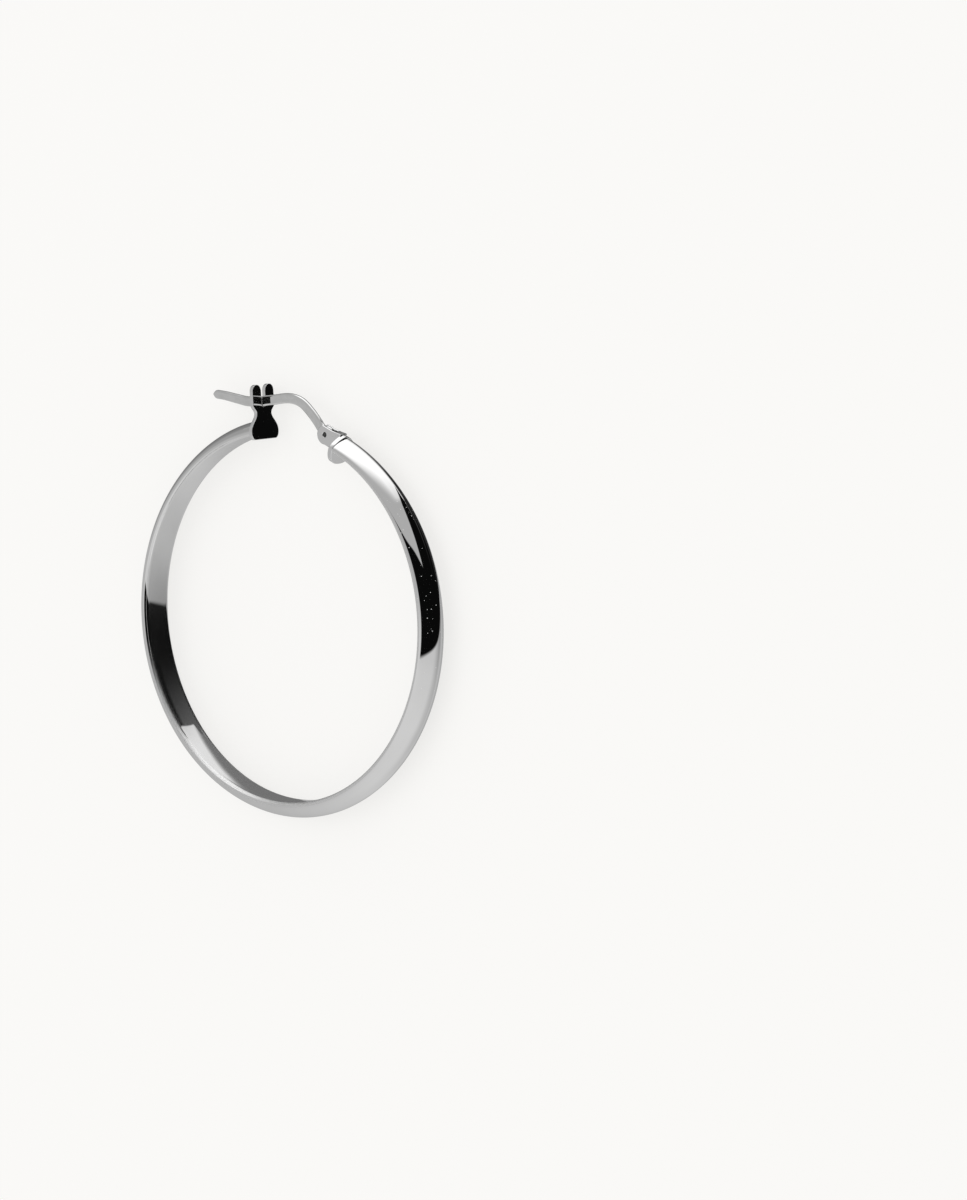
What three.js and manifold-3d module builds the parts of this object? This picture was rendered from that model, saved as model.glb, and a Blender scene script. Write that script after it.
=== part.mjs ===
// A polished hoop earring whose curved ear wire is hinged at one end of the hoop and snaps into a forked
// catch at the other. It lies on its side: Z is the hoop's own axis and points up, Y runs from the middle
// of the hoop to the clasp, X from the catch to the hinge. Lengths are in millimetres, angles in degrees.
import * as THREE from 'three';
import { mergeVertices } from 'three/addons/utils/BufferGeometryUtils.js';
import Module from 'manifold-3d';

const wasm = await Module();
wasm.setup();

const { degToRad } = THREE.MathUtils;

// Hoop band: a D section, flat inside and domed outside, bent round a circle.
const outerDiameter = 40;
const bandWidth = 3.55;          // along the hoop's axis, half way up the hoop
const bandThickness = 1.47;      // from the flat inside to the crest of the dome
const bandTaper = 0.06;          // share by which the section shrinks at the clasp and grows opposite it
const domePower = 1.62;          // 2 would be half an ellipse, less is more pointed
const innerCorner = 0.28;        // radius between the flat inside and the side
const sideLand = 0.2;            // narrow flat on each side, which the hoop lies on
const bandStep = 4;              // degrees of one facet round the hoop
const domeFacets = 12;
const cornerFacets = 3;

// Where the band ends, left and right of the top.
const catchEnd = 11.3;
const hingeEnd = 21.7;

// Catch plate, soldered flat on the band's left end, with two rounded prongs and a slot between them.
const plateThickness = 0.43;
const plateHeight = 5.5;
const plateBelowBand = 0.56;     // how far the base stands inside the hoop
const plateLean = 4.5;
const baseWidth = 3.9;
const neckWidth = 2.12;
const headWidth = 3.06;
const baseCorner = 0.42;
const slotClearance = 0.05;      // between the wire and each prong, and under the wire

// Hinge, soldered on the band's right end: a round-cornered end plate and two cheeks joined by a bridge.
const endPlateThickness = 0.42;
const endPlateRim = 0.06;        // how far it stands proud of the band
const lobeReach = 1.24;          // how far it stands inside the hoop
const hingeReach = 1.93;         // from the end plate to the rivet
const rivetBelowCrest = 0.73;
const cheekThickness = 0.22;
const noseRadius = 1;
const footAbove = 0.92;          // height of the cheeks over and under the rivet where they meet the plate
const footBelow = 0.94;
const bridgeThickness = 0.22;
const bridgeFromRivet = 1.05;
const solderOverlap = 0.15;      // how deep soldered pieces run into each other

// Rivet.
const rivetRadius = 0.3;
const rivetRecess = 0.08;        // its ends lie this far inside the cheeks
const cheekHoleClearance = 0.04;
const hubHoleClearance = 0.06;
const roundFacets = 24;

// Ear wire: a flat strip with rounded edges. It has an eye on the rivet, an arch to the catch and a tip beyond.
const wireThickness = 1.02;      // in the plane that it swings in, at the arch
const tipThickness = 0.88;
const wireWidth = 0.5;           // along the rivet
const hubRadius = 0.86;
const cheekClearance = 0.05;     // on each side of the eye
const archRise = 1.8;            // over the straight line from rivet to catch
const tipReach = 6.45;
const tipRise = 0.26;
const seatHeight = 2.53;         // of the wire's middle at the catch, over the middle of the band's end
const wireSteps = 66;
const tipSteps = 6;              // of those, how many round off the tip
const wireFacets = 16;
const wireSquareness = 3.2;      // 2 is an ellipse, more is boxier

// Course of the wire: first from rivet (along 0) to catch (along 1) with the rise as a share of archRise,
// then past the catch as shares of tipReach and tipRise.
const archCourse = [
  { along: 0, rise: 0 },
  { along: 0.09, rise: 0.17 },
  { along: 0.165, rise: 0.46 },
  { along: 0.265, rise: 0.78 },
  { along: 0.385, rise: 1.03 },
  { along: 0.5, rise: 1.03 },
  { along: 0.62, rise: 0.87 },
  { along: 0.81, rise: 0.37 },
  { along: 1, rise: 0 },
];
const tipCourse = [
  { along: 0.3, rise: -0.5 },
  { along: 0.54, rise: 0.15 },
  { along: 0.79, rise: 0.9 },
  { along: 1, rise: 1.2 },
];

const radius = outerDiameter / 2;
const cheekGap = wireWidth + 2 * cheekClearance;
const bracketWidth = cheekGap + 2 * cheekThickness;
const slotWidth = wireWidth + 2 * slotClearance;
const top = degToRad(90);
const catchAngle = top + degToRad(catchEnd);
const hingeAngle = top - degToRad(hingeEnd);

// Size of the band's section at an angle round the hoop, as a share of its size half way up.
const sectionScale = (angle) => 1 - bandTaper * Math.sin(angle);
const radialAt = (angle) => new THREE.Vector3(Math.cos(angle), Math.sin(angle), 0);
const forwardAt = (angle) => new THREE.Vector3(-Math.sin(angle), Math.cos(angle), 0);
const middleRadius = (angle) => radius - (bandThickness * sectionScale(angle)) / 2;

// Turns a closed three.js geometry into a solid for joining and cutting.
function solidOf(geometry) {
  const bare = geometry.clone();
  bare.deleteAttribute('normal');
  bare.deleteAttribute('uv');
  const welded = mergeVertices(bare, 1e-5);
  return new wasm.Manifold(new wasm.Mesh({
    numProp: 3,
    vertProperties: new Float32Array(welded.attributes.position.array),
    triVerts: new Uint32Array(welded.index.array),
  }));
}

// Turns a solid back into a geometry.
function geometryOf(solid) {
  const mesh = solid.getMesh();
  const geometry = new THREE.BufferGeometry();
  geometry.setAttribute('position', new THREE.BufferAttribute(new Float32Array(mesh.vertProperties), 3));
  geometry.setIndex(new THREE.BufferAttribute(new Uint32Array(mesh.triVerts), 1));
  return geometry;
}

// A closed skin over rings of points, all with as many points, each ring closed by a flat end.
function loft(rings) {
  const count = rings[0].length;
  const last = (rings.length - 1) * count;
  const index = [];
  for (let r = 0; r + 1 < rings.length; r++) {
    for (let i = 0; i < count; i++) {
      const a = r * count + i;
      const b = r * count + ((i + 1) % count);
      index.push(a, b, a + count, b, b + count, a + count);
    }
  }
  for (let i = 1; i + 1 < count; i++) {
    index.push(0, i + 1, i, last, last + i, last + i + 1);
  }
  const geometry = new THREE.BufferGeometry();
  geometry.setAttribute('position', new THREE.Float32BufferAttribute(
    rings.flat().flatMap((point) => [point.x, point.y, point.z]), 3));
  geometry.setIndex(index);
  return geometry;
}

// An outline extruded by depth from a place whose X and Y run along two directions.
function plate(shape, depth, origin, xAxis, yAxis) {
  const geometry = new THREE.ExtrudeGeometry(shape, { depth, bevelEnabled: false, curveSegments: 10 });
  const zAxis = new THREE.Vector3().crossVectors(xAxis, yAxis);
  geometry.applyMatrix4(new THREE.Matrix4().makeBasis(xAxis, yAxis, zAxis).setPosition(origin));
  return solidOf(geometry);
}

// A round bar along Z, centred on a point.
function bar(barRadius, length, centre) {
  const geometry = new THREE.CylinderGeometry(barRadius, barRadius, length, roundFacets);
  geometry.rotateX(top);
  geometry.translate(centre.x, centre.y, centre.z);
  return geometry;
}

// Upper half of the band's section from the flat inside to the crest: depth under the crest and height
// along the axis. A grown section is larger all round, and its side has no narrow flat.
function halfSection(grown) {
  const half = bandWidth / 2;
  const points = [];
  for (let i = 0; i <= cornerFacets; i++) {
    const turn = (top * i) / cornerFacets;
    points.push({
      depth: bandThickness - innerCorner + innerCorner * Math.cos(turn),
      height: half + grown - innerCorner + innerCorner * Math.sin(turn),
    });
  }
  const domeDepth = bandThickness - innerCorner - sideLand;
  for (let i = 0; i < domeFacets / 2; i++) {
    const turn = (top * i) / (domeFacets / 2);
    points.push({
      depth: domeDepth - (domeDepth + grown) * Math.sin(turn) ** (2 / domePower),
      height: (half + grown) * Math.cos(turn) ** (2 / domePower),
    });
  }
  points.push({ depth: -grown, height: 0 });
  return points;
}

// The whole section as one closed row of points.
function fullSection(grown) {
  const upper = halfSection(grown);
  const lower = upper.slice(0, -1).reverse().map((point) => ({ depth: point.depth, height: -point.height }));
  return [...upper, ...lower];
}

// The band, from the catch end round under the hoop to the hinge end. A facet is centred on the lowest
// point, so the flat that the hoop lies on faces straight along the axis there.
function band() {
  const angles = [catchAngle];
  const bottom = 3 * top;
  const step = degToRad(bandStep);
  const count = Math.floor(Math.PI / step);
  for (let i = -count; i <= count; i++) {
    const angle = bottom + (i + 0.5) * step;
    if (angle > catchAngle + step / 3 && angle < hingeAngle + 4 * top - step / 3) angles.push(angle);
  }
  angles.push(hingeAngle + 4 * top);
  const section = fullSection(0);
  const rings = angles.map((angle) => section.map(({ depth, height }) => {
    const scale = sectionScale(angle);
    return radialAt(angle).multiplyScalar(radius - depth * scale).setZ(height * scale);
  }));
  return solidOf(loft(rings));
}

// The catch plate's own axes: middle of its thickness at the middle of the band's end.
const catchUp = forwardAt(degToRad(plateLean));
const catchOut = radialAt(degToRad(plateLean));
const catchMiddle = radialAt(catchAngle).multiplyScalar(middleRadius(catchAngle));
const catchBottom = -(bandThickness * sectionScale(catchAngle)) / 2 - plateBelowBand;
const catchSeat = catchMiddle.clone().addScaledVector(catchUp, seatHeight);

function catchOutline() {
  const half = baseWidth / 2;
  const neck = neckWidth / 2;
  const head = headWidth / 2;
  const slot = slotWidth / 2;
  const bottom = catchBottom;
  const crown = bottom + plateHeight;
  const slotFloor = seatHeight - (wireThickness / 2) - slotClearance;
  const prongRadius = (head - slot) / 2;
  const prongMiddle = slot + prongRadius;
  const shoulder = bottom + plateHeight * 0.62;
  const waist = bottom + plateHeight * 0.47;
  const belly = bottom + plateHeight * 0.14;
  const shape = new THREE.Shape();
  shape.moveTo(-half + baseCorner, bottom);
  shape.lineTo(half - baseCorner, bottom);
  shape.quadraticCurveTo(half, bottom + baseCorner * 0.4, half, belly);
  shape.bezierCurveTo(half, waist - plateHeight * 0.17, neck, waist - plateHeight * 0.1, neck, waist);
  shape.bezierCurveTo(neck, waist + plateHeight * 0.07, head, shoulder - plateHeight * 0.05, head, shoulder);
  shape.lineTo(head, crown - prongRadius * 1.5);
  shape.absellipse(prongMiddle, crown - prongRadius * 1.5, prongRadius, prongRadius * 1.5, 0, Math.PI, false, 0);
  shape.lineTo(slot, slotFloor + slot);
  shape.absarc(0, slotFloor + slot, slot, 0, Math.PI, true);
  shape.lineTo(-slot, crown - prongRadius * 1.5);
  shape.absellipse(-prongMiddle, crown - prongRadius * 1.5, prongRadius, prongRadius * 1.5, 0, Math.PI, false, 0);
  shape.lineTo(-head, shoulder);
  shape.bezierCurveTo(-head, shoulder - plateHeight * 0.05, -neck, waist + plateHeight * 0.07, -neck, waist);
  shape.bezierCurveTo(-neck, waist - plateHeight * 0.1, -half, waist - plateHeight * 0.17, -half, belly);
  shape.quadraticCurveTo(-half, bottom + baseCorner * 0.4, -half + baseCorner, bottom);
  return shape;
}

function catchPlate() {
  const back = catchMiddle.clone().addScaledVector(catchOut, -plateThickness / 2);
  return plate(catchOutline(), plateThickness, back, new THREE.Vector3(0, 0, -1), catchUp);
}

// The hinge's own axes, at the outer face of its end plate.
const hingeUp = radialAt(hingeAngle);
const hingeInto = forwardAt(hingeAngle).negate();
const endPlateFace = forwardAt(hingeAngle).multiplyScalar(endPlateThickness);
const rivetCentre = endPlateFace.clone()
  .addScaledVector(hingeInto, -hingeReach)
  .addScaledVector(hingeUp, radius - rivetBelowCrest);

function endPlate() {
  const scale = sectionScale(hingeAngle);
  const points = halfSection(endPlateRim / scale)
    .slice(cornerFacets + 1)
    .map(({ depth, height }) => new THREE.Vector2(height * scale, radius - depth * scale));
  const side = points[0].x;
  const sideLevel = radius - bandThickness * scale;
  const lobe = [];
  for (let i = 0; i <= domeFacets; i++) {
    const turn = (Math.PI * i) / domeFacets;
    const across = Math.cos(turn);
    lobe.push(new THREE.Vector2(
      -side * Math.sign(across) * Math.abs(across) ** 0.8, sideLevel - lobeReach * Math.sin(turn) ** 0.8));
  }
  const mirrored = points.slice(0, -1).reverse().map((point) => new THREE.Vector2(-point.x, point.y));
  const shape = new THREE.Shape([...points, ...mirrored, ...lobe]);
  const start = forwardAt(hingeAngle).multiplyScalar(-solderOverlap);
  return plate(shape, endPlateThickness + solderOverlap, start, new THREE.Vector3(0, 0, 1), hingeUp);
}

// One cheek's outline, with the rivet at its origin and the end plate to the right.
const foot = hingeReach + solderOverlap;
const noseTurn = degToRad(70);
const noseStart = { x: noseRadius * Math.cos(noseTurn), y: noseRadius * Math.sin(noseTurn) };

function cheekOutline() {
  const shape = new THREE.Shape();
  shape.moveTo(foot, footAbove);
  shape.lineTo(noseStart.x, noseStart.y);
  shape.absarc(0, 0, noseRadius, noseTurn, 2 * Math.PI - noseTurn, false);
  shape.lineTo(foot, -footBelow);
  return shape;
}

// The strip that joins the cheeks on the outside, next to the end plate.
function bridgeOutline() {
  const share = (bridgeFromRivet - noseStart.x) / (foot - noseStart.x);
  const nearTop = noseStart.y + (footAbove - noseStart.y) * share;
  const shape = new THREE.Shape();
  shape.moveTo(foot, footAbove);
  shape.lineTo(bridgeFromRivet, nearTop);
  shape.lineTo(bridgeFromRivet, nearTop - bridgeThickness);
  shape.lineTo(foot, footAbove - bridgeThickness);
  return shape;
}

function hingeBracket() {
  const place = (shape, depth, low) => plate(shape, depth, rivetCentre.clone().setZ(low), hingeInto, hingeUp);
  const overlapped = cheekGap + solderOverlap;
  return endPlate()
    .add(place(cheekOutline(), cheekThickness, cheekGap / 2))
    .add(place(cheekOutline(), cheekThickness, -bracketWidth / 2))
    .add(place(bridgeOutline(), overlapped, -overlapped / 2))
    .subtract(solidOf(bar(rivetRadius + cheekHoleClearance, bracketWidth * 2, rivetCentre)));
}

function hoopGeometry() {
  return geometryOf(band().add(catchPlate()).add(hingeBracket()));
}

function rivetGeometry() {
  return bar(rivetRadius, bracketWidth - 2 * rivetRecess, new THREE.Vector3());
}

// The wire's middle line, from the rivet at its origin to the tip.
function wireCourse() {
  const seat = catchSeat.clone().sub(rivetCentre);
  const arch = archCourse.map(({ along, rise }) => (
    new THREE.Vector3(seat.x * along, seat.y * along + archRise * rise, 0)));
  const tip = tipCourse.map(({ along, rise }) => (
    new THREE.Vector3(seat.x - tipReach * along, seat.y + tipRise * rise, 0)));
  return new THREE.CatmullRomCurve3([...arch, ...tip], false, 'centripetal');
}

// Half sizes of the wire's section at a point: how tall in the plane of the swing, how wide along the rivet.
function wireHalves(point, toTip) {
  const beyond = THREE.MathUtils.smoothstep(catchSeat.x - rivetCentre.x - point.x, 0, tipReach);
  const tall = THREE.MathUtils.lerp(wireThickness, tipThickness, beyond) / 2;
  const round = toTip < tall ? Math.sqrt(Math.max(1 - (1 - toTip / tall) ** 2, 0.01)) : 1;
  return { tall: tall * round, wide: (wireWidth / 2) * (0.5 + 0.5 * round) };
}

// One ring of the wire's skin at a share of its length.
function wireRing(course, length, share) {
  const point = course.getPointAt(share);
  const along = course.getTangentAt(share);
  const across = new THREE.Vector3(-along.y, along.x, 0);
  const { tall, wide } = wireHalves(point, (1 - share) * length);
  const squared = (value) => Math.sign(value) * Math.abs(value) ** (2 / wireSquareness);
  const ring = [];
  for (let i = 0; i < wireFacets; i++) {
    const turn = (2 * Math.PI * i) / wireFacets;
    ring.push(point.clone()
      .addScaledVector(across, tall * squared(Math.cos(turn)))
      .setZ(wide * squared(Math.sin(turn))));
  }
  return ring;
}

function wireGeometry() {
  const course = wireCourse();
  const length = course.getLength();
  const straight = wireSteps - tipSteps;
  const tipShare = 1 - tipThickness / 2 / length;
  const rings = [];
  for (let i = 0; i <= straight; i++) rings.push(wireRing(course, length, (tipShare * i) / straight));
  for (let i = 1; i <= tipSteps; i++) {
    rings.push(wireRing(course, length, tipShare + (1 - tipShare) * Math.sin((top * i) / tipSteps)));
  }
  const eye = bar(hubRadius, wireWidth, new THREE.Vector3());
  const hole = bar(rivetRadius + hubHoleClearance, wireWidth * 2, new THREE.Vector3());
  return geometryOf(solidOf(loft(rings)).add(solidOf(eye)).subtract(solidOf(hole)));
}

function piece(name, geometry, color, roughness) {
  const mesh = new THREE.Mesh(geometry, new THREE.MeshStandardMaterial({ color, roughness, metalness: 1 }));
  mesh.name = name;
  return mesh;
}

const earring = new THREE.Group();
earring.add(piece('hoop', hoopGeometry(), 0xdfe0e0, 0.06));

const hinge = new THREE.Group();
hinge.position.copy(rivetCentre);
hinge.add(piece('hinge_rivet', rivetGeometry(), 0xb4b5b6, 0.25));
hinge.add(piece('ear_wire', wireGeometry(), 0xc4c5c5, 0.22));
earring.add(hinge);

// The part's origin is under the middle of its box, on the surface that it lies on.
const box = new THREE.Box3().setFromObject(earring, true);
const middle = box.getCenter(new THREE.Vector3());
earring.position.set(-middle.x, -middle.y, -box.min.z);

const part = new THREE.Group();
part.add(earring);

export default part;
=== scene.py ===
import math
from types import SimpleNamespace

import bpy
from mathutils import Matrix, Vector


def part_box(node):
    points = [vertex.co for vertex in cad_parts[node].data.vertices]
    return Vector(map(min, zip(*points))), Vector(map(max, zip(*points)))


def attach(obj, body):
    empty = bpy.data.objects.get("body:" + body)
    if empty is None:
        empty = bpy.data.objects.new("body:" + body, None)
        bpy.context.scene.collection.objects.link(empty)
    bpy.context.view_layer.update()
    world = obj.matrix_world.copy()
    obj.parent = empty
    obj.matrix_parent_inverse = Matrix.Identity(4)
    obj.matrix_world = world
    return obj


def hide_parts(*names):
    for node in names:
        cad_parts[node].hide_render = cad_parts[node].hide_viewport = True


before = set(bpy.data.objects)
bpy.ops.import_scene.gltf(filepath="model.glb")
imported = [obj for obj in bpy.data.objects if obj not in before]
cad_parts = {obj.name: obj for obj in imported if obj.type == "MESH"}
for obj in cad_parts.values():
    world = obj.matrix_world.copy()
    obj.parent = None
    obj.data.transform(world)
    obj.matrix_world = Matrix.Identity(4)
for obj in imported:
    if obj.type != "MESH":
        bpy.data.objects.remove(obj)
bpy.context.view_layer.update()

mm = 0.001
hoopLow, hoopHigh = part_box("hoop")
rivetLow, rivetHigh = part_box("hinge_rivet")

# Lengths below are in millimetres, and places are measured from the hoop's middle.
hoopRadius = (hoopHigh.x - hoopLow.x) / 2 / mm
hoopMiddle = Vector(((hoopLow.x + hoopHigh.x) / 2, hoopLow.y + hoopRadius * mm, (hoopLow.z + hoopHigh.z) / 2))
rivetMiddle = ((rivetLow + rivetHigh) / 2 - hoopMiddle) / mm

making = {
    "bevelSegments": 4,
    "bevelAngle": 32,           # edges that turn by more degrees than this are rounded
    "flatFaceWeight": 90,       # how much large faces lead the shading of their rounded edges
    "barSides": 64,
    "cutterReach": 2,           # how far a cutter goes, well past what it cuts
}


def radialAt(degrees):
    return Vector((math.cos(math.radians(degrees)), math.sin(math.radians(degrees)), 0))


def forwardAt(degrees):
    return Vector((-math.sin(math.radians(degrees)), math.cos(math.radians(degrees)), 0))


def mix(low, high, share):
    return low + (high - low) * share


def mixPair(low, high, share):
    return (mix(low[0], high[0], share), mix(low[1], high[1], share))


def smoothStep(low, high, value):
    share = min(max((value - low) / (high - low), 0), 1)
    return share * share * (3 - 2 * share)


# Points come in as millimetres from the hoop's middle and are stored in metres in the part's frame.
def meshPiece(name, points, faces, attributes=None):
    mesh = bpy.data.meshes.new(name)
    mesh.from_pydata([hoopMiddle + point * mm for point in points], [], faces)
    for key, values in (attributes or {}).items():
        layer = mesh.attributes.new(key, "FLOAT", "POINT")
        layer.data.foreach_set("value", values)
    mesh.update()
    piece = bpy.data.objects.new(name, mesh)
    bpy.context.scene.collection.objects.link(piece)
    return piece


def smoothShade(piece, sharpDegrees):
    piece.data.shade_smooth()
    piece.data.set_sharp_from_angle(angle=math.radians(sharpDegrees))


def applyModifiers(piece):
    depsgraph = bpy.context.evaluated_depsgraph_get()
    done = bpy.data.meshes.new_from_object(piece.evaluated_get(depsgraph))
    piece.modifiers.clear()
    piece.data = done


def bevelEdges(piece, width, clamp):
    bevel = piece.modifiers.new("rounded edges", "BEVEL")
    bevel.width = width * mm
    bevel.segments = making["bevelSegments"]
    bevel.limit_method = "ANGLE"
    bevel.angle_limit = math.radians(making["bevelAngle"])
    bevel.use_clamp_overlap = clamp
    applyModifiers(piece)


def evenNormals(piece):
    weighted = piece.modifiers.new("flat faces stay flat", "WEIGHTED_NORMAL")
    weighted.mode = "FACE_AREA"
    weighted.weight = making["flatFaceWeight"]
    weighted.keep_sharp = True


def cutAway(piece, cutter):
    cut = piece.modifiers.new("cut", "BOOLEAN")
    cut.operation = "DIFFERENCE"
    cut.solver = "EXACT"
    cut.object = cutter
    applyModifiers(piece)
    bpy.data.objects.remove(cutter)


# A skin over rings of points, with the way along and round it kept as attributes in millimetres.
def loftPiece(name, rings, along, across):
    count = len(rings[0])
    points = [point for ring in rings for point in ring]
    faces = []
    for r in range(len(rings) - 1):
        for i in range(count):
            a, b = r * count + i, r * count + (i + 1) % count
            faces.append((a, b, b + count, a + count))
    last = (len(rings) - 1) * count
    faces.append(tuple(reversed(range(count))))
    faces.append(tuple(range(last, last + count)))
    alongAll = [value for value in along for _ in range(count)]
    acrossAll = [value for _ in rings for value in across]
    return meshPiece(name, points, faces, {"along": alongAll, "across": acrossAll})


# An outline of (x, y) pairs, thickened from low to high across the two axes that it lies in.
def platePiece(name, outline, low, high, origin, xAxis, yAxis):
    zAxis = xAxis.cross(yAxis)
    count = len(outline)
    points = [origin + xAxis * x + yAxis * y + zAxis * z for z in (low, high) for x, y in outline]
    faces = [tuple(reversed(range(count))), tuple(range(count, 2 * count))]
    faces += [(i, (i + 1) % count, count + (i + 1) % count, count + i) for i in range(count)]
    return meshPiece(name, points, faces)


# A round cutter along the hoop's axis.
def barCutter(name, radius, middle):
    sides, reach = making["barSides"], making["cutterReach"]
    outline = [(radius * math.cos(2 * math.pi * i / sides), radius * math.sin(2 * math.pi * i / sides))
               for i in range(sides)]
    return platePiece(name, outline, -reach, reach, middle, Vector((1, 0, 0)), Vector((0, 1, 0)))


# A cubic curve of (x, y) pairs, without its first point.
def bezier(p0, p1, p2, p3, steps):
    points = []
    for i in range(1, steps + 1):
        t = i / steps
        a, b, c, d = (1 - t) ** 3, 3 * t * (1 - t) ** 2, 3 * t * t * (1 - t), t ** 3
        points.append((a * p0[0] + b * p1[0] + c * p2[0] + d * p3[0],
                       a * p0[1] + b * p1[1] + c * p2[1] + d * p3[1]))
    return points


# The camera stands where the hoop is seen at the photo's angle, a long way off, and aims beside the hoop.
camera = {
    "turn": 42.95,              # degrees from the hoop's axis towards its hinge side
    "lift": 6.56,               # degrees towards the clasp
    "distance": 1500,
    "pixelsPerMm": 10.02,
    "frame": (967, 1200),
    "hoopAt": (291.35, 617.97),  # where the hoop's middle is in the frame, in pixels
    "sensor": 36,
    "sees": (0.01, 20),         # metres
}


def makeCamera():
    turn, lift = math.radians(camera["turn"]), math.radians(camera["lift"])
    right = Vector((math.cos(turn), 0, -math.sin(turn)))
    up = Vector((-math.sin(lift) * math.sin(turn), math.cos(lift), -math.sin(lift) * math.cos(turn)))
    back = right.cross(up)
    width, height = camera["frame"]
    aside = (width / 2 - camera["hoopAt"][0]) / camera["pixelsPerMm"]
    above = (camera["hoopAt"][1] - height / 2) / camera["pixelsPerMm"]
    place = back * camera["distance"]
    aim = right * aside + up * above
    away = (place - aim).normalized()
    side = up.cross(away).normalized()
    data = bpy.data.cameras.new("camera")
    data.sensor_width = camera["sensor"]
    data.lens = camera["sensor"] * (place - aim).length * camera["pixelsPerMm"] / height
    data.clip_start, data.clip_end = camera["sees"]
    made = bpy.data.objects.new("camera", data)
    axes = Matrix((side, away.cross(side), away)).transposed().to_4x4()
    made.matrix_world = Matrix.Translation(hoopMiddle + place * mm) @ axes
    bpy.context.scene.collection.objects.link(made)
    bpy.context.scene.camera = made


makeCamera()
print("camera ready")

# The hoop's band: a D section bent into a ring, slightly smaller at the clasp than opposite it.
band = {
    "width": 3.5,               # half way up the hoop, as the thickness is
    "thickness": 1.565,
    "taper": 0.052,             # share by which the section shrinks at the clasp and grows opposite it
    "domePower": 1.4,           # 2 would be half an ellipse, less is more pointed
    "crestEase": 0.03,          # share of the half width over which the crest is eased
    "crestCrowding": 1.2,       # over 1, the dome's points lie closer near its crest
    "cornerDepth": 0.3,         # the rounded inner corners, across the thickness and along the width
    "cornerWidth": 0.6,
    "sideLand": 0.12,           # narrow flat on each side, which the hoop lies on
    "innerSwell": 0.05,         # how far the inside bulges at mid width
    "insideSteps": 12,
    "cornerSteps": 16,
    "domeSteps": 40,
    "catchEnd": 101.3,          # degrees round the hoop
    "hingeEnd": 428.3,
    "ringCount": 700,
    "seam": 0.11,               # length over which the band draws in at its soldered ends
    "seamDepth": 0.045,
    "seamCore": 0.3,            # closer to the section's middle than this, it draws in less
    "sharpAngle": 50,
}


def bandScale(degrees):
    return 1 - band["taper"] * math.sin(math.radians(degrees))


# Half the section as (depth under the crest, height along the hoop's axis), from mid inside to the crest.
def bandHalfSection():
    half, deep, broad = band["width"] / 2, band["cornerDepth"], band["cornerWidth"]
    thick, ease, power = band["thickness"], band["crestEase"], band["domePower"]
    rise = thick - deep - band["sideLand"]
    points = []
    for i in range(band["insideSteps"]):
        height = (half - broad) * i / band["insideSteps"]
        points.append((thick + band["innerSwell"] * (1 - (height / (half - broad)) ** 2), height))
    for i in range(band["cornerSteps"] + 1):
        turn = math.pi / 2 * i / band["cornerSteps"]
        points.append((thick - deep * (1 - math.cos(turn)), half - broad * (1 - math.sin(turn))))
    points.append((rise + band["sideLand"] / 2, half))
    for i in range(band["domeSteps"]):
        share = math.cos(math.pi / 2 * i / band["domeSteps"]) ** band["crestCrowding"]
        eased = ((share * share + ease * ease) ** 0.5 - ease) / ((1 + ease * ease) ** 0.5 - ease)
        points.append((rise * (1 - (1 - eased ** power) ** (1 / power)), half * share))
    points.append((0, 0))
    return points


def makeBand():
    upper = bandHalfSection()
    section = upper + [(depth, -height) for depth, height in reversed(upper[1:-1])]
    across = [0]
    for before, after in zip(upper, upper[1:]):
        across.append(across[-1] + math.hypot(after[0] - before[0], after[1] - before[1]))
    across += reversed(across[1:-1])  # the same on both sides, so that no seam shows
    middle = band["thickness"] / 2
    rings, along = [], []
    for i in range(band["ringCount"] + 1):
        degrees = mix(band["catchEnd"], band["hingeEnd"], i / band["ringCount"])
        toEnd = math.radians(min(degrees - band["catchEnd"], band["hingeEnd"] - degrees)) * hoopRadius
        drawn = band["seamDepth"] * max(0, 1 - toEnd / band["seam"]) ** 2
        scale = bandScale(degrees)
        ring = []
        for depth, height in section:
            out = Vector((middle - depth, height))
            out *= 1 - drawn / max(out.length, band["seamCore"])
            reach = hoopRadius - (middle - out.x) * scale
            ring.append(radialAt(degrees) * reach + Vector((0, 0, out.y * scale)))
        rings.append(ring)
        along.append(math.radians(degrees - band["catchEnd"]) * hoopRadius)
    made = loftPiece("band", rings, along, across)
    smoothShade(made, band["sharpAngle"])
    return made


# The catch plate: rounded base, narrow neck and two prongs with a slot between them.
catch = {
    "thickness": 0.43,
    "height": 5.487,
    "lean": 4.5,                # degrees
    "inset": 0.69,              # the middle of the band's end is this far in from the hoop's outside
    "below": 1.25,              # how far the plate reaches below that middle
    "slotFloor": 1.97,          # how far over it the slot ends
    "slot": 0.58,               # widths
    "head": 3.06,
    "neck": 2.12,
    "base": 3.9,
    "shoulder": 0.62,           # where the head, neck and base are that wide, as shares of the height
    "waist": 0.47,
    "belly": 0.14,
    "shoulderPull": 0.05,       # how far the sides run straight there, as shares too
    "waistPull": (0.07, 0.1),
    "bellyPull": 0.17,
    "corner": 0.42,
    "cornerRise": 0.4,          # share of the corner by which it rises
    "cornerPull": 2 / 3,
    "prong": 1.2,               # height of the prongs' rounded tops over their half width
    "prongPower": 0.9,          # under 1 they are squarer than an ellipse
    "edge": 0.045,
    "cornerSteps": 10,
    "sideSteps": 16,
    "headSteps": 12,
    "prongSteps": 24,
    "slotSteps": 8,
    "sharpAngle": 40,
}


def catchSeat():
    return radialAt(band["catchEnd"]) * (hoopRadius - catch["inset"])


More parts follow.
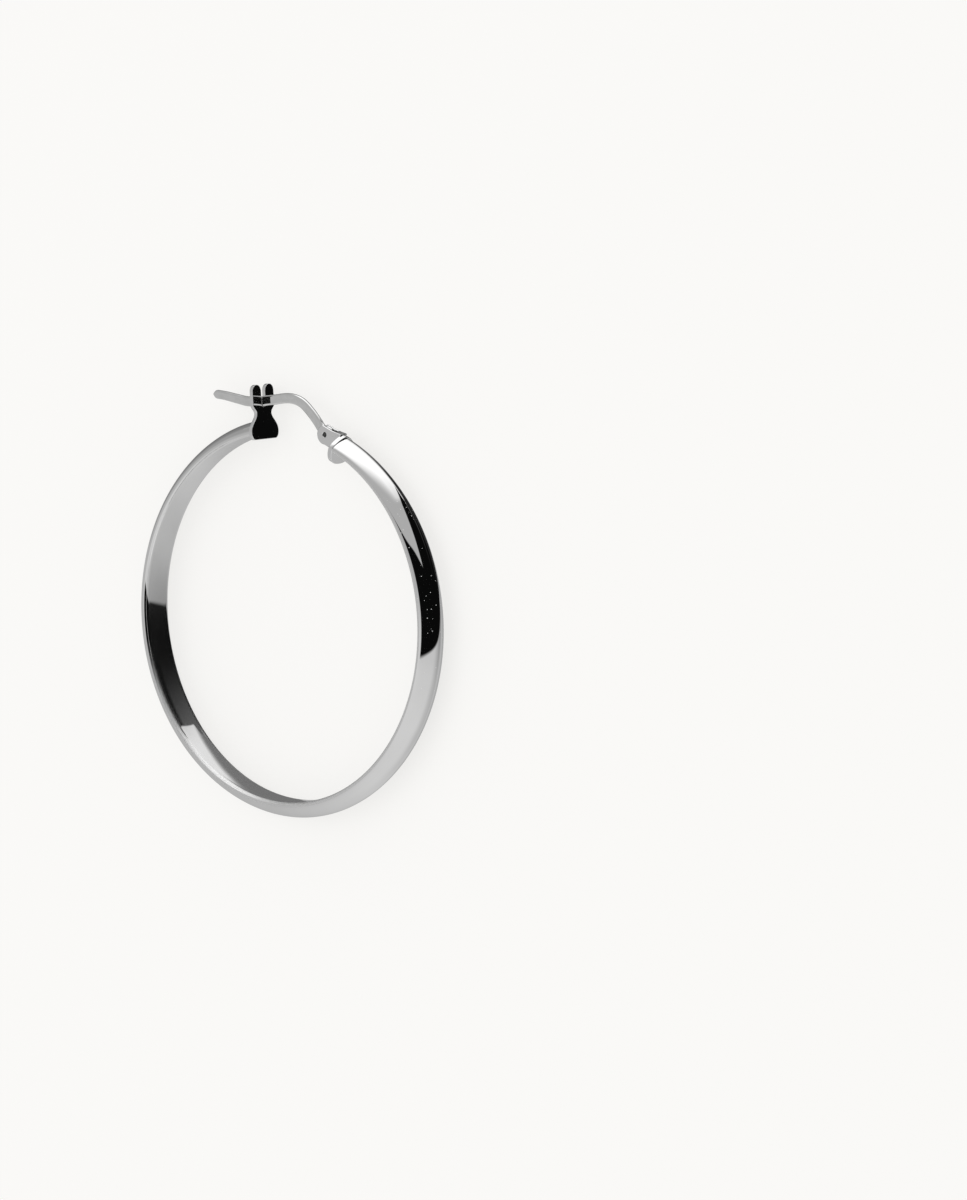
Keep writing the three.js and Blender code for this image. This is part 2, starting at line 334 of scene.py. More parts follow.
def catchOutline():
    half, neck, head, slot = (catch[key] / 2 for key in ("base", "neck", "head", "slot"))
    tall, bottom, power = catch["height"], -catch["below"], catch["prongPower"]
    shoulder, waist, belly = (bottom + tall * catch[key] for key in ("shoulder", "waist", "belly"))
    waistAbove, waistBelow = catch["waistPull"]
    prong = (head - slot) / 2
    rise = prong * catch["prong"]

    start, side = (half - catch["corner"], bottom), (half, belly)
    knee = (half, bottom + catch["corner"] * catch["cornerRise"])
    pull = catch["cornerPull"]
    right = [start]
    right += bezier(start, mixPair(start, knee, pull), mixPair(side, knee, pull), side, catch["cornerSteps"])
    right += bezier(side, (half, waist - tall * catch["bellyPull"]), (neck, waist - tall * waistBelow),
                    (neck, waist), catch["sideSteps"])
    right += bezier((neck, waist), (neck, waist + tall * waistAbove),
                    (head, shoulder - tall * catch["shoulderPull"]), (head, shoulder), catch["headSteps"])
    for i in range(catch["prongSteps"] + 1):
        turn = math.pi * i / catch["prongSteps"]
        reach = math.copysign(abs(math.cos(turn)) ** power, math.cos(turn))
        right.append((slot + prong * (1 + reach), bottom + tall - rise + rise * math.sin(turn) ** power))
    for i in range(catch["slotSteps"] + 1):
        turn = math.pi / 2 * i / catch["slotSteps"]
        right.append((slot * math.cos(turn), catch["slotFloor"] + slot - slot * math.sin(turn)))
    left = [(-x, y) for x, y in reversed(right[:-1])]
    return right + left


def makeCatch():
    up = forwardAt(catch["lean"])
    half = catch["thickness"] / 2
    made = platePiece("catch_plate", catchOutline(), -half, half, catchSeat(), Vector((0, 0, -1)), up)
    bevelEdges(made, catch["edge"], clamp=True)
    smoothShade(made, catch["sharpAngle"])
    evenNormals(made)
    return made


# The hinge: a lobed end plate on the band's end, and two cheeks with a bridge round the wire's eye.
hinge = {
    "plate": 0.46,
    "plateInto": 0.092,         # how far the end plate runs into the band
    "rim": 0.15,                # how far it stands out over the band's crest
    "lobe": 1.36,               # how far it stands inside the hoop
    "lobePower": 0.8,           # under 1 the lobe is squarer than an ellipse
    "plateEdge": 0.07,
    "cheek": 0.22,
    "gap": 0.6,                 # between the cheeks
    "foot": 1.98,               # how far the cheeks go from the rivet, into the end plate
    "footAbove": 0.98,          # how high they stand over and under the rivet there
    "footBelow": 0.94,
    "nose": 1,                  # radius round the rivet
    "noseEnd": 290,             # degrees at which the round nose meets the straight lower edge
    "brow": 0.78,               # height of the cheeks' upper edge over the rivet, which sweeps up to the foot
    "browEnd": 0.3,
    "browCurve": 0.7,
    "bridge": 0.26,
    "bridgeFrom": 1.05,
    "roomPast": 1,              # how far past the foot the room under the bridge is cut
    "hole": 0.245,
    "edge": 0.1,
    "browSteps": 16,
    "roundSteps": 40,
    "sharpAngle": 40,
}


def endPlateOutline():
    scale = bandScale(band["hingeEnd"])
    half, middle, power = band["width"] / 2, band["thickness"] / 2, hinge["lobePower"]
    dome = [(depth, height) for depth, height in bandHalfSection() if depth < middle]
    outline = []
    for depth, height in dome + [(depth, -height) for depth, height in reversed(dome[:-1])]:
        out = Vector((height, middle - depth))
        out *= 1 + hinge["rim"] * (1 - (height / half) ** 2) / out.length
        outline.append((-out.x * scale, hoopRadius - (middle - out.y) * scale))
    level = outline[0][1]
    lobe = hinge["lobe"] + level - (hoopRadius - band["thickness"] * scale)
    for i in range(1, hinge["roundSteps"]):
        turn = math.pi * i / hinge["roundSteps"]
        reach = math.copysign(abs(math.cos(turn)) ** power, math.cos(turn))
        outline.append((half * scale * reach, level - lobe * math.sin(turn) ** power))
    return outline


def browAt(reach):
    share = min(max((hinge["foot"] - reach) / (hinge["foot"] - hinge["browEnd"]), 0), 1)
    return mix(hinge["footAbove"], hinge["brow"], smoothStep(0, 1, share ** hinge["browCurve"]))


def cheekOutline():
    steps = hinge["browSteps"]
    reaches = [mix(hinge["foot"], hinge["browEnd"], i / steps) for i in range(steps + 1)]
    outline = [(reach, browAt(reach)) for reach in reaches]
    noseStart = 180 - math.degrees(math.asin(hinge["brow"] / hinge["nose"]))
    for i in range(hinge["roundSteps"] + 1):
        turn = math.radians(mix(noseStart, hinge["noseEnd"], i / hinge["roundSteps"]))
        outline.append((hinge["nose"] * math.cos(turn), hinge["nose"] * math.sin(turn)))
    outline.append((hinge["foot"], -hinge["footBelow"]))
    return outline


def makeHinge():
    into, up = -forwardAt(band["hingeEnd"]), radialAt(band["hingeEnd"])
    half, past, bridge = hinge["gap"] / 2, making["cutterReach"], hinge["bridgeFrom"]
    side = half + hinge["cheek"]
    bracket = platePiece("hinge_bracket", cheekOutline(), -side, side, rivetMiddle, into, up)
    far = hinge["foot"] + hinge["roomPast"]
    room = [(far, hinge["footAbove"] - hinge["bridge"]), (bridge, browAt(bridge) - hinge["bridge"]),
            (bridge, past), (-past, past), (-past, -past), (far, -past)]
    cutAway(bracket, platePiece("room", room, -half, half, rivetMiddle, into, up))
    cutAway(bracket, barCutter("hole", hinge["hole"], rivetMiddle))
    plate = platePiece("end_plate", endPlateOutline(), -hinge["plateInto"], hinge["plate"], Vector((0, 0, 0)),
                       Vector((0, 0, 1)), up)
    for piece, edge in ((bracket, hinge["edge"]), (plate, hinge["plateEdge"])):
        bevelEdges(piece, edge, clamp=False)
        smoothShade(piece, hinge["sharpAngle"])
        evenNormals(piece)
    return bracket, plate


# The rivet: a pin with a slightly dished, peened end on each side.
rivet = {
    "radius": 0.235,
    "length": 0.86,
    "dish": 0.13,
    "chamfer": 0.05,
    "lip": 0.015,               # what is left of the chamfer at the lip of the dish
    "rings": 10,
    "sides": 64,
    "sharpAngle": 45,
}


def makeRivet():
    radius, half, chamfer, lip = rivet["radius"], rivet["length"] / 2, rivet["chamfer"], rivet["lip"]
    radii = [radius * i / rivet["rings"] for i in range(1, rivet["rings"])]
    end = [(r, half - rivet["dish"] * (1 - (r / radius) ** 2)) for r in radii if r < radius - chamfer]
    end += [(radius - lip, half - lip), (radius, half - chamfer)]
    rows = end + [(r, -z) for r, z in reversed(end)]
    sides = rivet["sides"]
    bottom = Vector((0, 0, half - rivet["dish"]))
    points = [rivetMiddle + bottom]
    for r, z in rows:
        for i in range(sides):
            turn = 2 * math.pi * i / sides
            points.append(rivetMiddle + Vector((r * math.cos(turn), r * math.sin(turn), z)))
    points.append(rivetMiddle - bottom)
    last = 1 + (len(rows) - 1) * sides
    faces = [(0, 1 + i, 1 + (i + 1) % sides) for i in range(sides)]
    for row in range(len(rows) - 1):
        for i in range(sides):
            a, b = 1 + row * sides + i, 1 + row * sides + (i + 1) % sides
            faces.append((a, a + sides, b + sides, b))
    faces += [(last + (i + 1) % sides, last + i, len(points) - 1) for i in range(sides)]
    made = meshPiece("rivet_pin", points, faces)
    smoothShade(made, rivet["sharpAngle"])
    return made


# The ear wire: a flat strip with rounded edges and a round eye on the rivet.
wire = {
    "tall": 1.02,
    "tallAtTip": 0.88,
    "wide": 0.5,
    "edge": 0.21,               # radius of its rounded edges
    "edgeShare": 0.8,           # share of the half height that they may take where the strip is low
    "eye": 0.86,
    "hole": 0.27,
    "neck": (-0.2, 0.9),        # past the rivet, the strip comes out of the eye from here to here
    "seat": 2.53,               # height of its middle at the catch, over the middle of the band's end
    "rise": 1.8,                # of the arch, over the straight line from rivet to catch
    "tipReach": 6.45,
    "tipRise": 0.26,
    "leastEnd": 0.05,           # the ends stay this blunt
    "rings": 300,
    "courseSteps": 1200,
    "edgeSteps": 8,
    "streakStep": 0.075,        # how far apart the streaks are taken round the section
    "sharpAngle": 40,
    # shares of the way from rivet to catch, and of the rise
    "archCourse": [(0, 0), (0.09, 0.17), (0.165, 0.46), (0.265, 0.78), (0.385, 1.03), (0.5, 1.03),
                   (0.62, 0.87), (0.81, 0.44), (0.92, 0.2), (1, 0)],
    # past the catch, shares of the tip's reach and rise
    "tipCourse": [(0.3, -0.5), (0.54, 0.15), (0.79, 0.9), (1, 1.2)],
}


# Centripetal Catmull-Rom curve through points, as an evenly spaced row.
def smoothCourse(points, count, finePerPoint=40):
    ends = [points[0] * 2 - points[1]] + points + [points[-1] * 2 - points[-2]]
    fine = []
    for i in range(1, len(ends) - 2):
        p0, p1, p2, p3 = ends[i - 1:i + 3]
        t1 = (p1 - p0).length ** 0.5
        t2 = t1 + (p2 - p1).length ** 0.5
        t3 = t2 + (p3 - p2).length ** 0.5
        for k in range(finePerPoint):
            t = mix(t1, t2, k / finePerPoint)
            a1 = p0 * ((t1 - t) / t1) + p1 * (t / t1)
            a2 = p1 * ((t2 - t) / (t2 - t1)) + p2 * ((t - t1) / (t2 - t1))
            a3 = p2 * ((t3 - t) / (t3 - t2)) + p3 * ((t - t2) / (t3 - t2))
            b1 = a1 * ((t2 - t) / t2) + a2 * (t / t2)
            b2 = a2 * ((t3 - t) / (t3 - t1)) + a3 * ((t - t1) / (t3 - t1))
            fine.append(b1 * ((t2 - t) / (t2 - t1)) + b2 * ((t - t1) / (t2 - t1)))
    fine.append(points[-1])
    lengths = [0]
    for a, b in zip(fine, fine[1:]):
        lengths.append(lengths[-1] + (b - a).length)
    even, at = [], 0
    for i in range(count):
        goal = lengths[-1] * i / (count - 1)
        while at < len(fine) - 2 and lengths[at + 1] < goal:
            at += 1
        share = (goal - lengths[at]) / (lengths[at + 1] - lengths[at])
        even.append(fine[at].lerp(fine[at + 1], share))
    return even, lengths[-1]


# Half the strip's height at a length along it, from the far side of the eye to the tip.
def wireHalfHeight(where, toTip, beyondCatch):
    least = wire["leastEnd"] ** 2
    body = mix(wire["tall"], wire["tallAtTip"], smoothStep(0, wire["tipReach"], beyondCatch)) / 2
    if toTip < body:
        body *= math.sqrt(max(1 - (1 - toTip / body) ** 2, least))
    pastRivet = where - wire["eye"]
    body *= smoothStep(*wire["neck"], pastRivet)
    if abs(pastRivet) >= wire["eye"]:
        return body
    return max(body, math.sqrt(max(wire["eye"] ** 2 - pastRivet ** 2, least)))


def makeWire():
    seat = catchSeat() + forwardAt(catch["lean"]) * wire["seat"] - rivetMiddle
    seat.z = 0
    arch = [Vector((seat.x * a, seat.y * a + wire["rise"] * r, 0)) for a, r in wire["archCourse"]]
    reach, rise = wire["tipReach"], wire["tipRise"]
    tip = [Vector((seat.x - reach * a, seat.y + rise * r, 0)) for a, r in wire["tipCourse"]]
    start = arch[0] - (arch[1] - arch[0]).normalized() * wire["eye"]
    course, length = smoothCourse([start] + arch + tip, wire["courseSteps"])
    last = len(course) - 1
    edge, half, steps = wire["edge"], wire["wide"] / 2, wire["edgeSteps"]
    rings, along = [], []
    for i in range(wire["rings"] + 1):
        where = length * (1 - math.cos(math.pi * i / wire["rings"])) / 2  # closer rings at both ends
        k = min(int(where / length * last + 0.5), last)
        ahead = (course[min(k + 2, last)] - course[max(k - 2, 0)]).normalized()
        side = Vector((-ahead.y, ahead.x, 0))
        tall = wireHalfHeight(where, length - where, seat.x - course[k].x)
        corner = min(edge, tall * wire["edgeShare"])
        ring = []
        for sx, sz, base in ((1, 1, 0), (-1, 1, 90), (-1, -1, 180), (1, -1, 270)):
            for j in range(steps + 1):
                turn = math.radians(base + 90 * j / steps)
                across = sx * (tall - corner) + corner * math.cos(turn)
                height = sz * (half - edge) + edge * math.sin(turn)
                ring.append(rivetMiddle + course[k] + side * across + Vector((0, 0, height)))
        rings.append(ring)
        along.append(where)
    around = [i * wire["streakStep"] for i in range(len(rings[0]))]
    made = loftPiece("ear_wire_strip", rings, along, around)
    cutAway(made, barCutter("eye_hole", wire["hole"], rivetMiddle))
    smoothShade(made, wire["sharpAngle"])
    return made


bandPiece = makeBand()
catchPiece = makeCatch()
bracketPiece, endPlatePiece = makeHinge()
rivetPiece = makeRivet()
wirePiece = makeWire()
print("pieces modelled")


# Shader maths: a Signal is one socket, and an expression on signals adds Math nodes to their tree.
class Signal:
    def __init__(self, shader, socket):
        self.shader = shader
        self.socket = socket

    def math(self, operation, *values):
        return self.shader.node("ShaderNodeMath", {"operation": operation}, dict(enumerate(values)))

    def __add__(self, other):
        return self.math("ADD", self, other)

    def __radd__(self, other):
        return self.math("ADD", other, self)

    def __sub__(self, other):
        return self.math("SUBTRACT", self, other)

    def __rsub__(self, other):
        return self.math("SUBTRACT", other, self)

    def __mul__(self, other):
        return self.math("MULTIPLY", self, other)

    def __rmul__(self, other):
        return self.math("MULTIPLY", other, self)

    def __pow__(self, other):
        return self.math("POWER", self, other)

    def __neg__(self):
        return self.math("MULTIPLY", self, -1)

    def __abs__(self):
        return self.math("ABSOLUTE", self)

    def ramp(self, low, high):  # 0 below low, 1 above high, eased between
        return self.shader.node("ShaderNodeMapRange", {"interpolation_type": "SMOOTHSTEP"},
                                {"Value": self, "From Min": low, "From Max": high})

    def toward(self, other, share):
        return self + (other - self) * share

    def both(self, other):
        return self.math("MINIMUM", self, other)

    def either(self, other):
        return self.math("MAXIMUM", self, other)

    def sibling(self, output):  # another output of the same node
        return Signal(self.shader, self.socket.node.outputs[output])


class Shader:
    def __init__(self, tree):
        self.tree = tree
        tree.nodes.clear()

    def node(self, kind, settings=None, inputs=None, output=0):
        made = self.tree.nodes.new(kind)
        for key, value in (settings or {}).items():
            setattr(made, key, value)
        for key, value in (inputs or {}).items():
            if isinstance(value, Signal):
                self.tree.links.new(value.socket, made.inputs[key])
            else:
                made.inputs[key].default_value = value
        return Signal(self, made.outputs[output] if made.outputs else None)

    def noise(self, vector, scale, detail, roughness=0.5):
        return self.node("ShaderNodeTexNoise", None,
                         {"Vector": vector, "Scale": scale, "Detail": detail, "Roughness": roughness})

    def stretch(self, vector, factors):
        return self.node("ShaderNodeVectorMath", {"operation": "MULTIPLY"}, {0: vector, 1: factors})

    def colour(self, share, low, high):
        low, high = (end if isinstance(end, Signal) else (*end, 1) for end in (low, high))
        return self.node("ShaderNodeMix", {"data_type": "RGBA"}, {0: share, 6: low, 7: high}, 2)

    def place(self):  # where on the part, in millimetres
        spot = self.node("ShaderNodeTexCoord", None, None, 3)
        return self.stretch(spot, (1 / mm, 1 / mm, 1 / mm))

    def kept(self, name):  # a number kept on the mesh
        return self.node("ShaderNodeAttribute", {"attribute_name": name}, None, 2)

    def grain(self, alongScale, acrossScale):  # runs with the length of a lofted piece
        return self.node("ShaderNodeCombineXYZ", None,
                         {0: self.kept("along") * alongScale, 1: self.kept("across") * acrossScale})

    def bump(self, height, depth, strength=1.0):  # depth in millimetres
        return self.node("ShaderNodeBump", None,
                         {"Strength": strength, "Distance": depth * mm, "Height": height})

    def metal(self, base, roughness, normal, metallic=1.0):
        return self.node("ShaderNodeBsdfPrincipled", None,
                         {"Base Color": base, "Roughness": roughness, "Normal": normal, "Metallic": metallic})

    def blend(self, share, first, second):
        return self.node("ShaderNodeMixShader", None, {0: share, 1: first, 2: second})

    def finish(self, surface):
        self.node("ShaderNodeOutputMaterial", None, {"Surface": surface})


def newMaterial(name):
    material = bpy.data.materials.new(name)
    material.use_nodes = True
    return material, Shader(material.node_tree)


# Polished silver: nearly a mirror, with hairlines, slow waves and a faint tarnish in patches.
polish = {
    "bright": (0.945, 0.943, 0.94),
    "dull": (0.88, 0.877, 0.87),
    "patchDulls": 0.4,
    "hairDulls": 0.2,
    "roughness": 0.012,
    "patchRoughness": 0.015,
    "hairRoughness": 0.025,
    "patchScale": 0.32,
    "patchFade": (0.35, 0.75),
    "hairFade": (0.5, 0.75),
    "waveScale": 0.22,
    "waveHeight": 0.6,          # heights are shares of the depth
    "hairHeight": 0.001,
    "depth": 0.03,
    "hazeRoughness": 0.42,      # of the hazy part of what is mirrored
    "hairHazeRoughness": 0.1,
}


def polishedGround(shader, grain):
    spot = shader.place()
    patches = shader.noise(spot, polish["patchScale"], 3).ramp(*polish["patchFade"])
    hairs = shader.noise(grain, 1, 3, 0.6).ramp(*polish["hairFade"])
    waves = shader.noise(spot, polish["waveScale"], 1)
    dulled = patches * polish["patchDulls"] + hairs * polish["hairDulls"]
    return SimpleNamespace(
        spot=spot, patches=patches, hairs=hairs,
        base=shader.colour(dulled, polish["bright"], polish["dull"]),
        roughness=polish["roughness"] + hairs * polish["hairRoughness"] + patches * polish["patchRoughness"],
        normal=shader.bump(waves * polish["waveHeight"] + hairs * polish["hairHeight"], polish["depth"]))


def polishedBlend(shader, ground, base, clear, haze):
    roughness = polish["hazeRoughness"] + ground.hairs * polish["hairHazeRoughness"]
    shader.finish(shader.blend(haze, clear, shader.metal(base, roughness, ground.normal)))


# The band is buffed less well inside, where a soft haze lies over its mirror image. Its inner corners are
# worn from some way past the catch on, and specks of dust lie on one stretch of its dome.
bandWear = {
    "grain": (0.35, 14),
    "insideHaze": 0.07,         # shares of the mirrored light that are hazy
    "hairHaze": 0.03,
    "cornerHaze": 0.84,
    "insideEnds": (0, 0.3),     # millimetres round the section, past the flat part of the inside
    "cornerStarts": (0.05, 0.35),
    "cornerEnds": (0.6, 0.9),
    "domeStarts": (0.9, 1),
    "wornFrom": (31, 37),       # millimetres along the band from the catch
    "dustFrom": (82, 84),
    "dustTo": (104, 106),
    "dust": (0.75, 0.75, 0.75),
    "speckScale": 2.4,
    "speckSize": (0.075, 0.115),
    "cloudScale": 0.6,          # the specks lie in clouds
    "cloudFade": (0.4, 0.44),
}


def bandSilver():
    material, shader = newMaterial("polished band")
    ground = polishedGround(shader, shader.grain(*bandWear["grain"]))
    along = shader.kept("along")
    past = shader.kept("across") - (band["width"] / 2 - band["cornerWidth"])

    specks = shader.node("ShaderNodeTexVoronoi", None,
                         {"Vector": ground.spot, "Scale": bandWear["speckScale"]})
    clouds = shader.noise(ground.spot, bandWear["cloudScale"], 0).ramp(*bandWear["cloudFade"])
    dust = (1 - specks.ramp(*bandWear["speckSize"])) * clouds * past.ramp(*bandWear["domeStarts"])
    dust = dust * along.ramp(*bandWear["dustFrom"]) * (1 - along.ramp(*bandWear["dustTo"]))
    base = shader.colour(dust, ground.base, bandWear["dust"])
    clear = shader.metal(base, ground.roughness + dust, ground.normal, 1 - dust)

    inside = 1 - past.ramp(*bandWear["insideEnds"])
    corner = past.ramp(*bandWear["cornerStarts"]) * (1 - past.ramp(*bandWear["cornerEnds"]))
    haze = inside * (bandWear["insideHaze"] + ground.hairs * bandWear["hairHaze"])
    haze = haze + corner * along.ramp(*bandWear["wornFrom"]) * bandWear["cornerHaze"]
    polishedBlend(shader, ground, base, clear, haze)
    return material


# Catch plate, bracket and end plate, polished by hand.
fitting = {"grain": (9, 0.5, 9), "patchHaze": 0.018}


def fittingSilver(name):
    material, shader = newMaterial(name)
    ground = polishedGround(shader, shader.stretch(shader.place(), fitting["grain"]))
    clear = shader.metal(ground.base, ground.roughness, ground.normal)
    polishedBlend(shader, ground, ground.base, clear, ground.patches * fitting["patchHaze"])
    return material


# Silver of the ear wire: drawn lengthwise, softly polished, with faint blotches.
satin = {
    "bright": (0.94, 0.94, 0.935),
    "dull": (0.84, 0.84, 0.83),
    "roughness": 0.02,
    "streakRoughness": 0.012,
    "patchRoughness": 0.01,
    "grain": (0.9, 22),
    "streakFade": (0.35, 0.7),
    "patchScale": 1.6,
    "patchFade": (0.3, 0.75),
    "streakHeight": 0.002,
    "patchHeight": 0.03,
    "depth": 0.02,
}


def satinSilver():
    material, shader = newMaterial("satin silver")
    streaks = shader.noise(shader.grain(*satin["grain"]), 1, 4, 0.65)
    patches = shader.noise(shader.place(), satin["patchScale"], 3).ramp(*satin["patchFade"])
    dulled = (streaks.ramp(*satin["streakFade"]) + patches) * 0.5
    base = shader.colour(dulled, satin["bright"], satin["dull"])
    roughness = satin["roughness"] + streaks * satin["streakRoughness"] + patches * satin["patchRoughness"]
    height = streaks * satin["streakHeight"] + patches * satin["patchHeight"]
    shader.finish(shader.metal(base, roughness, shader.bump(height, satin["depth"])))
    return material


# Filed and peened metal of the rivet's ends, painted dark as painted shade of their recess in the cheeks,
# mottled.
filed = {
    "bright": (0.16, 0.16, 0.16),
    "dull": (0.03, 0.03, 0.03),
    "shadeMottle": 0.8,
    "shadeScale": 5,
    "shadeFade": (0.35, 0.7),
    "roughness": 0.3,
    "markRoughness": 0.2,
    "marks": (4, 30, 4),
    "markStrength": 0.6,
    "depth": 0.02,
}


def filedSilver():
    material, shader = newMaterial("filed silver")
    spot = shader.place()
    marks = shader.noise(shader.stretch(spot, filed["marks"]), 1, 3)
    rivetShade = shader.noise(spot, filed["shadeScale"], 2).ramp(*filed["shadeFade"])
    # painted shade: the near black base colour stands in for the shade in the recess round the rivet's ends,
    # mottled by noise
    base = shader.colour(rivetShade * filed["shadeMottle"], filed["bright"], filed["dull"])
    roughness = filed["roughness"] + marks * filed["markRoughness"]
    shader.finish(shader.metal(base, roughness, shader.bump(marks, filed["depth"], filed["markStrength"])))
    return material


def wear(piece, material, body, slot, *nodes):
    piece.data.materials.clear()
    piece.data.materials.append(material)
    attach(piece, body)
    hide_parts(*nodes)


wear(bandPiece, bandSilver(), "hoop", "polished_silver", "hoop")
for name, piece in (("catch", catchPiece), ("hinge", bracketPiece), ("end plate", endPlatePiece)):
    wear(piece, fittingSilver("polished " + name), "hoop", "polished_silver", "hoop")
wear(rivetPiece, filedSilver(), "hoop", "rivet_silver", "hinge_rivet")
wear(wirePiece, satinSilver(), "ear_wire", "satin_silver", "ear_wire")
print("silver finishes made")

# The studio: a pale floor and soft light all round, and for mirrored rays a grey room with a white and a
# black panel far away. They are set by direction: turn is degrees round from +X, climb is degrees up and down
# is degrees under level. A pair of numbers is where something fades in or out.
studio = {
    "floor": (0.947, 0.939, 0.922),
    "floorHalf": 3,             # metres
    "floorGlow": 0.78,
    "room": 0.95,
    "lampAt": (-0.7, 0.5, 1.3),
    "lampSize": (1.2, 0.9),
    "lampPower": 3.2,
}

greyRoom = {
    "level": 0.46,
    "bright": 0.18,             # brightest at this turn
    "brightTurn": -62,
    "brightFade": (10, 95),
    "nearShades": [
        {"adds": -0.14, "down": (0, 24), "turn": (-110, -60)},
        {"adds": -0.07, "down": (20, 75)},
        {"adds": -0.07, "down": (20, 45), "turn": (-50, -20)},
    ],
    "farLevel": 0.34,
    "farTurn": (116, 126),
    "farShades": [
        {"adds": 0.09, "climb": (5, 30)},
        {"adds": -0.12, "down": (8, 24)},
        {"adds": -0.13, "down": (24, 44)},
    ],
    "rightLevel": 0.43,         # behind both panels
    "rightTurn": ((18, 26), (120, 150)),
}


def shaded(level, rows, sky):
    for row in rows:
        shade = row["adds"]
        for angle in ("down", "climb", "turn"):
            if angle in row:
                shade = getattr(sky, angle).ramp(*row[angle]) * shade
        level = level + shade
    return level


def lightGreyRoom(sky):
    start, end = greyRoom["rightTurn"]
    glow = 1 - abs(sky.turn - greyRoom["brightTurn"]).ramp(*greyRoom["brightFade"])
    level = shaded(greyRoom["level"] + greyRoom["bright"] * glow, greyRoom["nearShades"], sky)
    far = shaded(greyRoom["farLevel"], greyRoom["farShades"], sky)
    level = level.toward(far, sky.turn.ramp(*greyRoom["farTurn"]))
    return level.toward(greyRoom["rightLevel"], sky.turn.ramp(*start) * (1 - sky.turn.ramp(*end)))


# White panel to the right of the black one. Its foot is dimmed, and below it is a grey floor.
whitePanel = {
    "level": 1.18,
    "left": (46, 86),
    "leftLean": 0.95,           # its left side moves over by this much with each degree up
    "leftMost": (60, 64),
    "right": (112, 130),
    "top": (22, 40),
    "dim": 0.5,
    "dimDown": (16, 38),
    "dimTurn": (60, 98),
    "dimAllDown": (34, 40),     # from here down it is dimmed at every turn
    "footDown": 66,
    "footLean": 0.2,
    "footFade": (-3, 4),
    "floor": 0.17,
    "floorDrop": 0.15,
    "floorDropDown": (56, 64),
    "floorTurn": (64, 80),
}


def lightWhitePanel(level, sky):
    turn, climb, down = sky.turn, sky.climb, sky.down
    foot = (down - whitePanel["footDown"] + whitePanel["footLean"] * turn).ramp(*whitePanel["footFade"])
    sides = (turn - whitePanel["leftLean"] * climb.either(0)).ramp(*whitePanel["left"])
    sides = sides * turn.ramp(*whitePanel["leftMost"]) * (1 - turn.ramp(*whitePanel["right"]))
    dimmed = turn.ramp(*whitePanel["dimTurn"]).either(down.ramp(*whitePanel["dimAllDown"]))
    dimmed = whitePanel["dim"] * down.ramp(*whitePanel["dimDown"]) * dimmed
    panel = sides * (1 - climb.ramp(*whitePanel["top"])) * (1 - foot) * (1 - dimmed)
    level = level.toward(whitePanel["level"], panel)
    floor = whitePanel["floor"] - whitePanel["floorDrop"] * down.ramp(*whitePanel["floorDropDown"])
    return level.toward(floor, turn.ramp(*whitePanel["floorTurn"]) * foot)


# Black panel: its left edge leans, its right edge is bowed and notched, and it ends overhead.
blackPanel = {
    "level": 0.003,
    "glow": 0.1,                # low on its right side the floor shows in it
    "glowTurn": (8, 84),
    "glowDown": ((38, 42), (54, 58)),
    "leftLean": 0.24,
    "leftSwing": 0.16,
    "leftFade": (-0.02, 0.02),
    "front": (-0.12, -0.02),
    "top": (54.5, 58),
    "bow": 0.0118,
    "bowTurn": 20,
    "bowClimb": (11.3, 12.7),
    "right": (55.2, 56.8),
    "rightLean": 0.55,
    "notch": 9.5,               # how far the notch goes in
    "notchDown": ((35, 38.5), (50, 52)),
    "upper": (0.395, 0.425),    # the right edge above level
    "upperLean": 0.14,
    "upperLeanFade": (0.05, 0.5),
    "upperFrom": (0, 0.05),
}


def lightBlackPanel(level, sky):
    x, y, z, turn, down = sky.x, sky.y, sky.z, sky.turn, sky.down

    def between(value, ends):
        return value.ramp(*ends[0]) * (1 - value.ramp(*ends[1]))

    swing = blackPanel["leftSwing"] * (z.either(0) + z.both(0) * (1 - z * z))
    panel = (y + blackPanel["leftLean"] * x + swing).ramp(*blackPanel["leftFade"])
    panel = panel * x.ramp(*blackPanel["front"]) * (1 - sky.climb.ramp(*blackPanel["top"]))
    bow = (turn - blackPanel["bowTurn"]).either(0)
    lower = 1 - (sky.climb + blackPanel["bow"] * bow * bow).ramp(*blackPanel["bowClimb"])
    notch = blackPanel["notch"] * between(down, blackPanel["notchDown"])
    lower = lower * (1 - (turn - blackPanel["rightLean"] * down + notch).ramp(*blackPanel["right"]))
    upper = y - blackPanel["upperLean"] * z.ramp(*blackPanel["upperLeanFade"])
    upper = (1 - upper.ramp(*blackPanel["upper"])) * z.ramp(*blackPanel["upperFrom"])
    glow = turn.ramp(*blackPanel["glowTurn"]) ** 2 * between(down, blackPanel["glowDown"])
    return level.toward(blackPanel["level"] + blackPanel["glow"] * glow, panel * lower.either(upper))


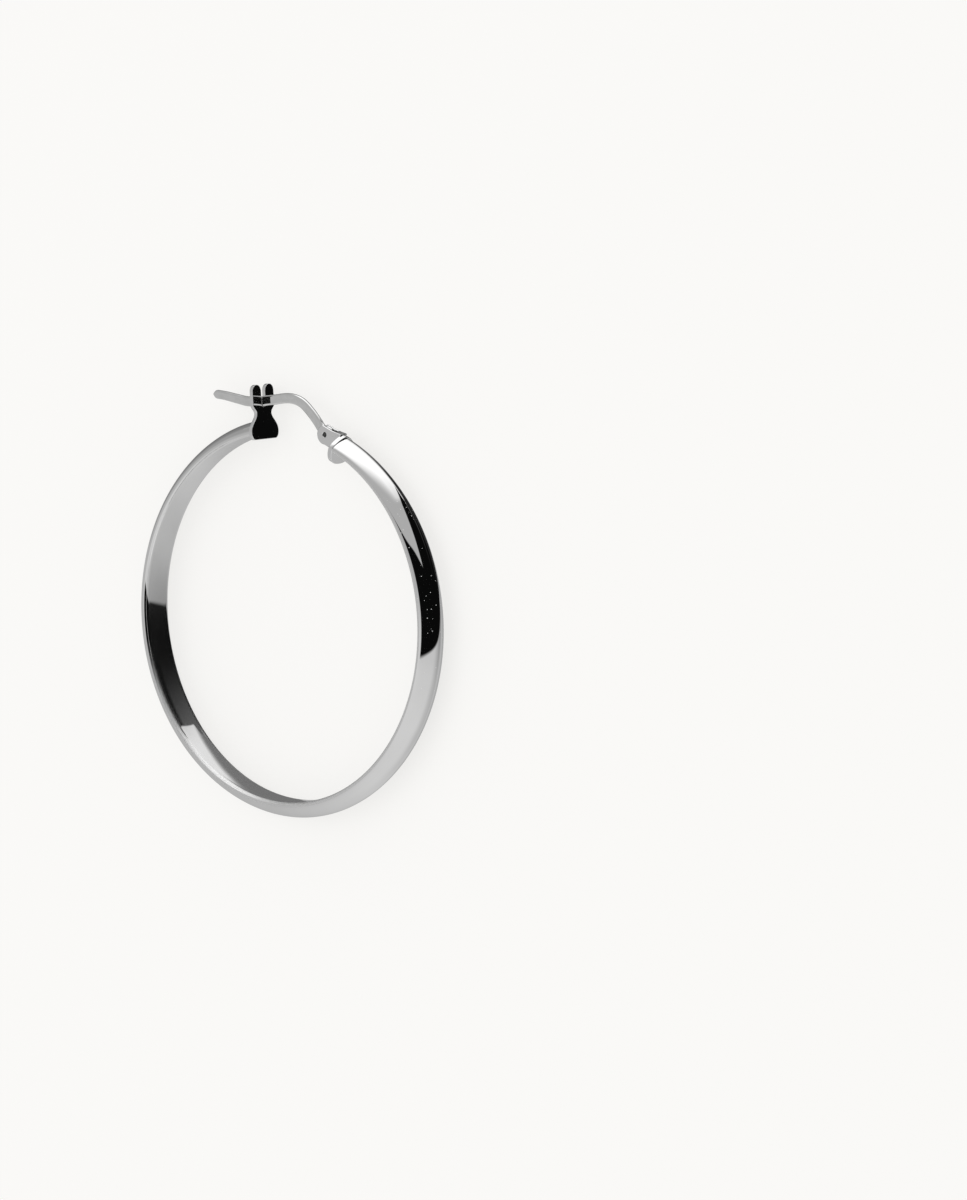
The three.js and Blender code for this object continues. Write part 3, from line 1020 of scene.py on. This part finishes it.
def makeStudio():
    world = bpy.data.worlds.new("studio")
    bpy.context.scene.world = world
    world.use_nodes = True
    shader = Shader(world.node_tree)
    x = shader.node("ShaderNodeSeparateXYZ", None, {0: shader.node("ShaderNodeTexCoord")})
    y, z = x.sibling("Y"), x.sibling("Z")
    degree = 180 / math.pi
    turn = y.math("ARCTAN2", y, x) * degree
    climb = z.math("ARCSINE", z.both(1).either(-1)) * degree
    sky = SimpleNamespace(x=x, y=y, z=z, turn=turn, climb=climb, down=(-climb).either(0))
    level = lightBlackPanel(lightWhitePanel(lightGreyRoom(sky), sky), sky)

    glossy = shader.node("ShaderNodeLightPath").sibling("Is Glossy Ray")
    seen = level * glossy + studio["room"] * (1 - glossy)
    tone = shader.node("ShaderNodeCombineColor", None, {0: seen, 1: seen, 2: seen})
    light = shader.node("ShaderNodeBackground", None, {"Color": tone})
    shader.node("ShaderNodeOutputWorld", None, {"Surface": light})


def makeFloor():
    half = studio["floorHalf"]
    mesh = bpy.data.meshes.new("floor")
    corners = [(-half, -half, 0), (half, -half, 0), (half, half, 0), (-half, half, 0)]
    mesh.from_pydata(corners, [], [(0, 1, 2, 3)])
    floor = bpy.data.objects.new("floor", mesh)
    bpy.context.scene.collection.objects.link(floor)
    material, shader = newMaterial("pale floor")
    matt = shader.node("ShaderNodeBsdfDiffuse", None, {"Color": (*studio["floor"], 1)})
    glow = shader.node("ShaderNodeEmission", None, {"Color": (*studio["floor"], 1)})
    shader.finish(shader.blend(studio["floorGlow"], matt, glow))
    mesh.materials.append(material)
    floor.visible_glossy = False


def makeLight():
    data = bpy.data.lights.new("soft box", "AREA")
    data.shape = "RECTANGLE"
    data.size, data.size_y = studio["lampSize"]
    data.energy = studio["lampPower"]
    lamp = bpy.data.objects.new("soft box", data)
    lamp.location = studio["lampAt"]
    lamp.rotation_euler = (-lamp.location).to_track_quat("-Z", "Y").to_euler()
    lamp.visible_glossy = False
    bpy.context.scene.collection.objects.link(lamp)


makeStudio()
makeFloor()
makeLight()
bpy.context.scene.view_settings.view_transform = "Standard"
print("studio ready")
